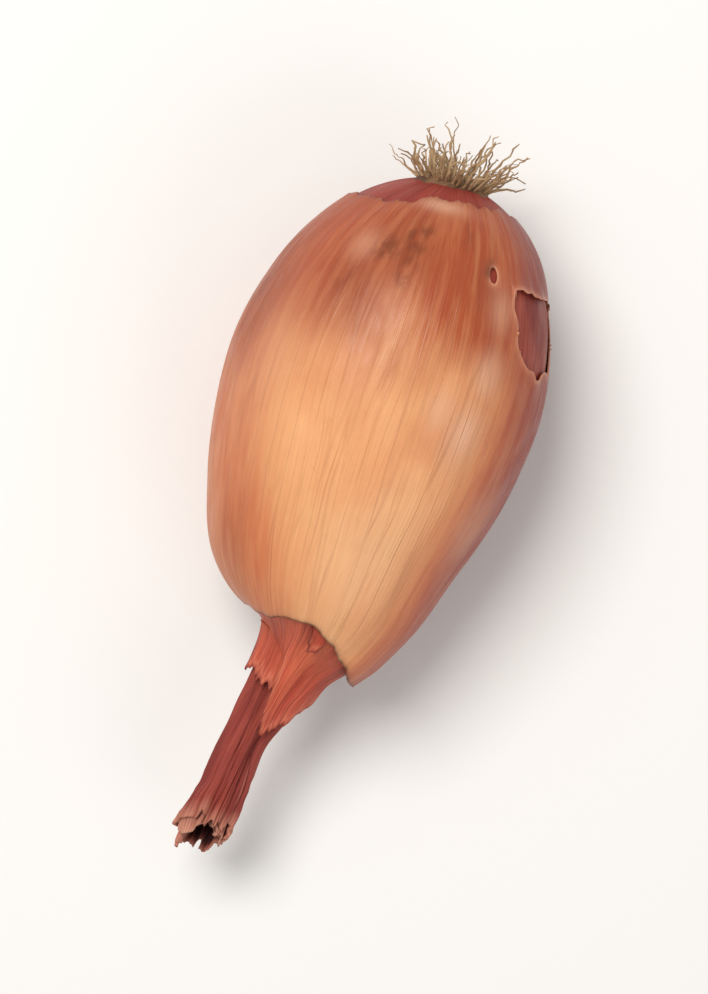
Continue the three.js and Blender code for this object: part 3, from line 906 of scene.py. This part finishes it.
def make_outer_skin():
    """A thin sheet round the body, open under the belly, torn at both ends and holed on the right flank."""
    rows, columns = 190, 244
    tear_sides = (TEAR_ANGLE - TEAR_HALF, TEAR_ANGLE + TEAR_HALF)
    rough = graded(SKIN_LEFT, SKIN_RIGHT, columns, tear_sides, strength=1.0, reach=radians(14))[None, :]
    start, end = skin_ends(rough)
    station = start + (end - start) * np.linspace(0, 1, rows)[:, None]
    left, right = skin_sides(station)
    share = (rough - SKIN_LEFT) / (SKIN_RIGHT - SKIN_LEFT)
    angle = left + (right - left) * share
    x, angle, cells = cut_holes(x_of(station, angle), angle)
    station = station_at(x, angle)

    # millimetres, roughly, from each torn edge
    edges = {
        "hole": np.maximum(beside_holes(x, angle), 0) / np.maximum(np.hypot(*hole_slopes(x, angle)), 0.3),
        "root": np.maximum(station - start, 0) * WIDEST_X,
        "mouth": np.maximum(end - station, 0) * SKIN_MOUTH_SCALE,
        "left": (angle - left) * BODY_ARC,
        "right": (right - angle) * BODY_ARC,
    }
    from_outline = np.minimum.reduce([edges[side] for side in ("root", "mouth", "left", "right")])
    browned_rim = exp(-np.maximum(from_outline, 0) / 0.24) * (1 - 0.75 * exp(-edges["root"] / 0.8))
    attributes = {key: values.ravel() for key, values in skin_tones(x, angle).items()}
    attributes["place"] = skin_place(x, angle).reshape(-1, 3)
    attributes["rim"] = browned_rim.ravel()
    # a lighter rim round the hole: paler torn paper, and painted light shining through its thin edge
    attributes["torn"] = exp(-edges["hole"] / 0.3).ravel()
    faces = np.array(grid_faces(rows, columns, closed=False))[cells.ravel()]
    height = skin_height(station, x, angle, rough, edges)
    points = surface(station, angle, height).reshape(-1, 3)
    piece = make_piece("skin_outer", points, faces, attributes, outer_skin_material())
    thicken(piece, PAPER)
    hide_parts("outer_skin")


# -------- the leaf on the neck

# The leaf's torn end, as degrees and x. It has one tongue, which is steep on the left.
LEAF_ENDS = [
    (-130, 63),
    (-92, 65.2),
    (-45, 65.5),
    (-14, 65.8),
    (-7, 68.4),
    (2, 70.4),
    (18, 71.5),
    (38, 70.6),
    (58, 69.2),
    (75, 67.2),
    (92, 65.0),
    (115, 62.8),
    (150, 61),
]
TONGUE_LEFT = radians(-7)
FLAKE_FROM_X = 54.9
FLAKE_LENGTH = 3.2
FLAKE_ANGLE = radians(7)
FLAKE_HALF_SPAN = radians(9)


def leaf_material():
    return papery(
        "neck_leaf",
        light=(224, 116, 82),
        dark=(168, 70, 52),
        vein=(106, 38, 30),
        tints=[
            # painted shade in the folds
            ("fold_shade", (112, 40, 34), 0.5),
            ("tip", (196, 86, 70), 0.45),
            ("edge_light", (226, 136, 106), 0.5),
            ("rim", (92, 34, 28), 0.75),
        ],
        streak_share=0.6,
        vein_share=0.45,
        roughness=0.48,
        coat=0.0,
        specular=0.22,
    )


def make_neck_leaf(material):
    """A thin sheet most of the way round the neck's foot, from under the outer skin to its torn end."""
    rows, columns = 116, 250
    first, last = LEAF_MIDDLE - LEAF_HALF_SPAN, LEAF_MIDDLE + LEAF_HALF_SPAN
    turn = graded(first, last, columns, (TONGUE_LEFT,), strength=3.0, reach=radians(5))[None, :]
    nicks = 0.5 * ripple(turn, 0, 60, 1, 71) + 0.3 * ripple(turn, 0, 150, 1, 72)
    end_angles, end_xs = zip(*LEAF_ENDS)
    end = np.interp(turn, np.radians(end_angles), end_xs) + nicks
    x = LEAF_FROM_X + (end - LEAF_FROM_X) * np.linspace(0, 1, rows)[:, None]
    angle = LEAF_MIDDLE + (turn - LEAF_MIDDLE) * (1 - LEAF_NARROWING * smoothstep(60, 70, x))
    slope = np.gradient(end[0], turn[0])[None, :] / NECK_ARC
    from_tip = (end - x) / np.hypot(1, slope)
    from_side = np.minimum(turn - turn.min(), turn.max() - turn) * NECK_ARC
    from_edge = np.maximum(np.minimum(from_tip, from_side), 0)
    curl = (0.3 + 0.3 * ripple(turn, 0, 9, 1, 73)) * exp(-from_tip / 1.6)
    sides = 0.2 * exp(-from_side / 1.2) * (1 + 0.8 * ripple(0, x, 3, 3, 74))
    on_neck = smoothstep(56, 64, x)
    strings = 0.16 * ripple(angle, x, 9, 7, 76) + 0.05 * ripple(angle, x, 64, 8, 75)
    folds = 0.42 * (pleats(x, angle) - 0.6) + strings
    bridge = 0.35 * bump(closing_x(angle) + 0.6, 2.4, x)
    height = 0.45 + on_neck * (0.22 + folds) + bridge + curl + sides
    height = np.minimum(height, 0.55 + 1.2 * smoothstep(54.5, 60, x) + 0.6 * np.maximum(0, x - 60))
    attributes = {
        "place": skin_place(x, angle + 0.4).reshape(-1, 3),
        "fold_shade": fold_shade_mask(x, angle).ravel(),
        "tip": smoothstep(8, 0, from_tip).ravel(),
        "rim": exp(-from_edge / 0.22).ravel(),
        "edge_light": bump(0.6, 0.35, np.maximum(from_tip, 0)).ravel(),
    }
    points = surface(station_at(x, angle), angle, height).reshape(-1, 3)
    faces = grid_faces(rows, columns, closed=False)
    piece = make_piece("leaf_on_neck", points, faces, attributes, material)
    thicken(piece, PAPER * 0.8)
    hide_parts("neck_leaf")


def make_flake(material):
    """A scrap of the leaf that lifts a little beside the skin's mouth."""
    rows, columns = 26, 40
    share, side = np.meshgrid(np.linspace(0, 1, rows), np.linspace(-1, 1, columns), indexing="ij")
    nicks = 0.35 * ripple(side * pi, 0, 15, 1, 77)
    x = FLAKE_FROM_X + share * (FLAKE_LENGTH + nicks) * (1 - 0.4 * side**2) + 0.6 * side
    angle = FLAKE_ANGLE + FLAKE_HALF_SPAN * side * (1 - 0.4 * share)
    height = 0.8 + 0.75 * share**2 + 0.25 * side**2 * share + 0.12 * ripple(angle, x, 40, 1.2, 78)
    from_end = (1 - share) * 3
    attributes = {
        "place": skin_place(x, angle + 0.9).reshape(-1, 3),
        "fold_shade": np.zeros(rows * columns),
        "tip": share.ravel(),
        "rim": exp(-np.minimum(from_end, (1 - abs(side)) * 1.8) / 0.2).ravel(),
        "edge_light": bump(0.5, 0.3, from_end).ravel(),
    }
    points = surface(station_at(x, angle), angle, height).reshape(-1, 3)
    faces = grid_faces(rows, columns, closed=False)
    piece = make_piece("leaf_flake", points, faces, attributes, material)
    thicken(piece, PAPER * 0.7)
    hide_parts("neck_leaf")


# -------- roots


def root_materials():
    plate = papery(
        "root_plate",
        light=(150, 112, 82),
        dark=(96, 66, 48),
        vein=(60, 38, 28),
        roughness=0.75,
        depth=0.2,
    )
    fibre = papery(
        "root_fibre",
        light=(214, 184, 142),
        dark=(158, 124, 86),
        vein=(104, 74, 50),
        tints=[("tip", (132, 98, 68), 0.7)],
        roughness=0.65,
        depth=0.03,
    )
    return plate, fibre


def make_root_plate(material):
    """A low rough disc, sunk in the bulb's root end and ringed by the scars of old roots."""
    rings, around = 44, 120
    angle = np.linspace(0, 2 * pi, around, endpoint=False)[None, :]
    out = np.linspace(0.02, 1, rings)[:, None]
    radius = (PLATE_RADIUS + 0.5) * out * (1 + 0.05 * ripple(angle, 0, 13, 1, 81))
    knobs = 0.28 * ripple(angle, out * 10, 29, 1.1, 82) + 0.14 * ripple(angle, out * 10, 61, 0.6, 83)
    x = 0.3 - 0.9 * (1 - out**2) + 1.5 * smoothstep(0.6, 1, out) - knobs * (1 - out**6)
    points = np.stack(np.broadcast_arrays(x, radius * sin(angle), radius * cos(angle)), -1).reshape(-1, 3)
    faces = grid_faces(rings, around, closed=True) + end_fans(rings, around)
    points = np.concatenate([points, [[x[0].mean(), 0, 0]], [[PLATE_DEPTH, 0, 0]]])
    place = np.stack([points[:, 1] / 10, points[:, 2] / 10, points[:, 0] / 10], -1)
    piece = make_piece("root_plate", points, faces, {"place": place}, material)
    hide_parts("roots")


def root_faces():
    """The faces of one root: its sides, its pointed tip and its flat start."""
    faces = grid_faces(ROOT_RINGS, ROOT_SIDES, closed=True)
    tip, last_ring = ROOT_RINGS * ROOT_SIDES, (ROOT_RINGS - 1) * ROOT_SIDES
    for step in range(ROOT_SIDES):
        faces.append([last_ring + step, tip, last_ring + (step + 1) % ROOT_SIDES])
    faces.append(list(range(ROOT_SIDES)))
    return faces


def root_thread(random, index):
    """One root's length, and its points: rings round a kinked line, and the tip."""
    t = np.linspace(0, 1, ROOT_RINGS)[:, None]
    ring = np.linspace(0, 2 * pi, ROOT_SIDES, endpoint=False)
    outward = sqrt((index + 0.5) / ROOT_COUNT)
    turn = index * pi * (3 - sqrt(5))
    sideways = np.array([0, sin(turn), cos(turn)])
    start = sideways * outward * PLATE_RADIUS * 0.86 + np.array([0.5, 0, 0])
    splay = radians(58) * outward * random.uniform(0.6, 1.25)
    heading = sideways * sin(splay) + np.array([-cos(splay), 0, 0])
    length = random.uniform(*ROOT_LENGTHS) * (1.0 if index % 4 else 0.5)
    bend = random.normal(0, 0.5, 3)
    thick = random.uniform(*ROOT_RADII)
    kinks = np.cumsum(random.normal(0, 0.055, (ROOT_RINGS, 3)), 0) * length * 0.5
    line = start + heading * length * t + (bend * t * t + kinks * t) * length * 0.28
    line[:, 0] = np.minimum(line[:, 0], 1.0)
    ahead = np.gradient(line, axis=0)
    ahead /= np.linalg.norm(ahead, axis=1, keepdims=True)
    side = np.cross(ahead, [0.31, 0.57, 0.76])
    side /= np.linalg.norm(side, axis=1, keepdims=True)
    up = np.cross(ahead, side)
    radius = thick * (1 - 0.65 * t) * (1 + 0.15 * random.normal(0, 1, (ROOT_RINGS, 1)))
    offset = cos(ring)[None, :, None] * side[:, None] + sin(ring)[None, :, None] * up[:, None]
    tube = line[:, None] + radius[:, None] * offset
    tip = line[-1:] + ahead[-1:] * thick * 0.5
    return length, np.concatenate([tube.reshape(-1, 3), tip])


def make_root_fibres(material):
    """Dried roots: tapering, kinked threads that start in the plate and spread like a worn brush."""
    random = np.random.default_rng(5)
    towards_tip = np.append(np.repeat(np.linspace(0, 1, ROOT_RINGS), ROOT_SIDES), 1)
    one_root = root_faces()
    points, faces, tips, places = [], [], [], []
    for index in range(ROOT_COUNT):
        length, thread = root_thread(random, index)
        faces += [[index * len(thread) + corner for corner in face] for face in one_root]
        points.append(thread)
        tips.append(towards_tip * random.uniform(0.2, 1))
        place = np.tile([random.uniform(0, 9), random.uniform(0, 9), 0], (len(thread), 1))
        place[:, 2] = towards_tip * length / 5
        places.append(place)
    attributes = {"place": np.concatenate(places), "tip": np.concatenate(tips)}
    piece = make_piece("root_fibres", np.concatenate(points), faces, attributes, material)
    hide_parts("roots")


# -------- floor, light and camera

# In metres from here on
FLOOR_REACH = 3.0
FLOOR_COLOUR = (0.86, 0.855, 0.84, 1)
FLOOR_ROUGHNESS = 0.7
# The picture's top is -X, turned a little to -Y, so the roots point to its top right
IMAGE_UP = (-0.965, -0.261, 0.0)
CAMERA_HEIGHT = 0.45
SENSOR = 36.0  # millimetres
VIEW_HEIGHT = 0.122  # what the picture's height takes in at the shallot's middle
SKY_COLOUR = (1.0, 0.99, 0.975, 1)
SKY_STRENGTH = 0.42


def make_floor():
    corners = [(-FLOOR_REACH, -FLOOR_REACH, 0), (FLOOR_REACH, -FLOOR_REACH, 0)]
    corners += [(FLOOR_REACH, FLOOR_REACH, 0), (-FLOOR_REACH, FLOOR_REACH, 0)]
    mesh = bpy.data.meshes.new("floor")
    mesh.from_pydata(corners, [], [(0, 1, 2, 3)])
    material = bpy.data.materials.new("floor")
    material.use_nodes = True
    shader = material.node_tree.nodes["Principled BSDF"]
    shader.inputs["Base Color"].default_value = FLOOR_COLOUR
    shader.inputs["Roughness"].default_value = FLOOR_ROUGHNESS
    mesh.materials.append(material)
    floor = bpy.data.objects.new("floor", mesh)
    bpy.context.scene.collection.objects.link(floor)
    floor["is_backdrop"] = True


def aim(thing, place, target, up):
    """Puts a light or camera at a place, looking at the target, with up at the top of its view."""
    back = (Vector(place) - Vector(target)).normalized()
    right = Vector(up).cross(back).normalized()
    top = back.cross(right)
    matrix = thing.matrix_world.copy()
    for row in range(3):
        matrix[row][0], matrix[row][1], matrix[row][2] = right[row], top[row], back[row]
        matrix[row][3] = place[row]
    thing.matrix_world = matrix


def make_light(name, place, target, size, watts, colour):
    """A round soft lamp, which the camera doesn't see itself."""
    data = bpy.data.lights.new(name, "AREA")
    data.shape = "DISK"
    data.size = size
    data.energy = watts
    data.color = colour
    light = bpy.data.objects.new(name, data)
    bpy.context.scene.collection.objects.link(light)
    light.visible_camera = False
    aim(light, place, target, (0, 1, 0))


def make_camera_and_light():
    low, high = (np.array(corner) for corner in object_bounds())
    middle = (low + high) / 2
    scene = bpy.context.scene
    data = bpy.data.cameras.new("camera")
    data.sensor_width = SENSOR
    data.lens = SENSOR / VIEW_HEIGHT * (CAMERA_HEIGHT - middle[2])
    data.clip_start = 0.01
    camera = bpy.data.objects.new("camera", data)
    scene.collection.objects.link(camera)
    aim(camera, (middle[0], middle[1], CAMERA_HEIGHT), tuple(middle), IMAGE_UP)
    scene.camera = camera

    make_light("key", (-0.16, -0.20, 0.54), tuple(middle), 0.32, 2.75, (1.0, 0.97, 0.93))
    make_light("fill", (0.30, 0.36, 0.34), tuple(middle), 0.5, 0.7, (1.0, 0.98, 0.96))
    world = bpy.data.worlds.new("studio")
    world.use_nodes = True
    sky = world.node_tree.nodes["Background"]
    sky.inputs["Color"].default_value = SKY_COLOUR
    sky.inputs["Strength"].default_value = SKY_STRENGTH
    scene.world = world
    scene.view_settings.view_transform = "Standard"


make_bulb()
layer = sheath_material()
make_sheath("sheath_outer", inset=0.75, reach=-2.6, seed=91, material=layer)
make_sheath("sheath_inner", inset=1.2, reach=-4.0, seed=95, material=layer)
make_outer_skin()
leaf = leaf_material()
make_neck_leaf(leaf)
make_flake(leaf)
plate_material, fibre_material = root_materials()
make_root_plate(plate_material)
make_root_fibres(fibre_material)
make_floor()
make_camera_and_light()
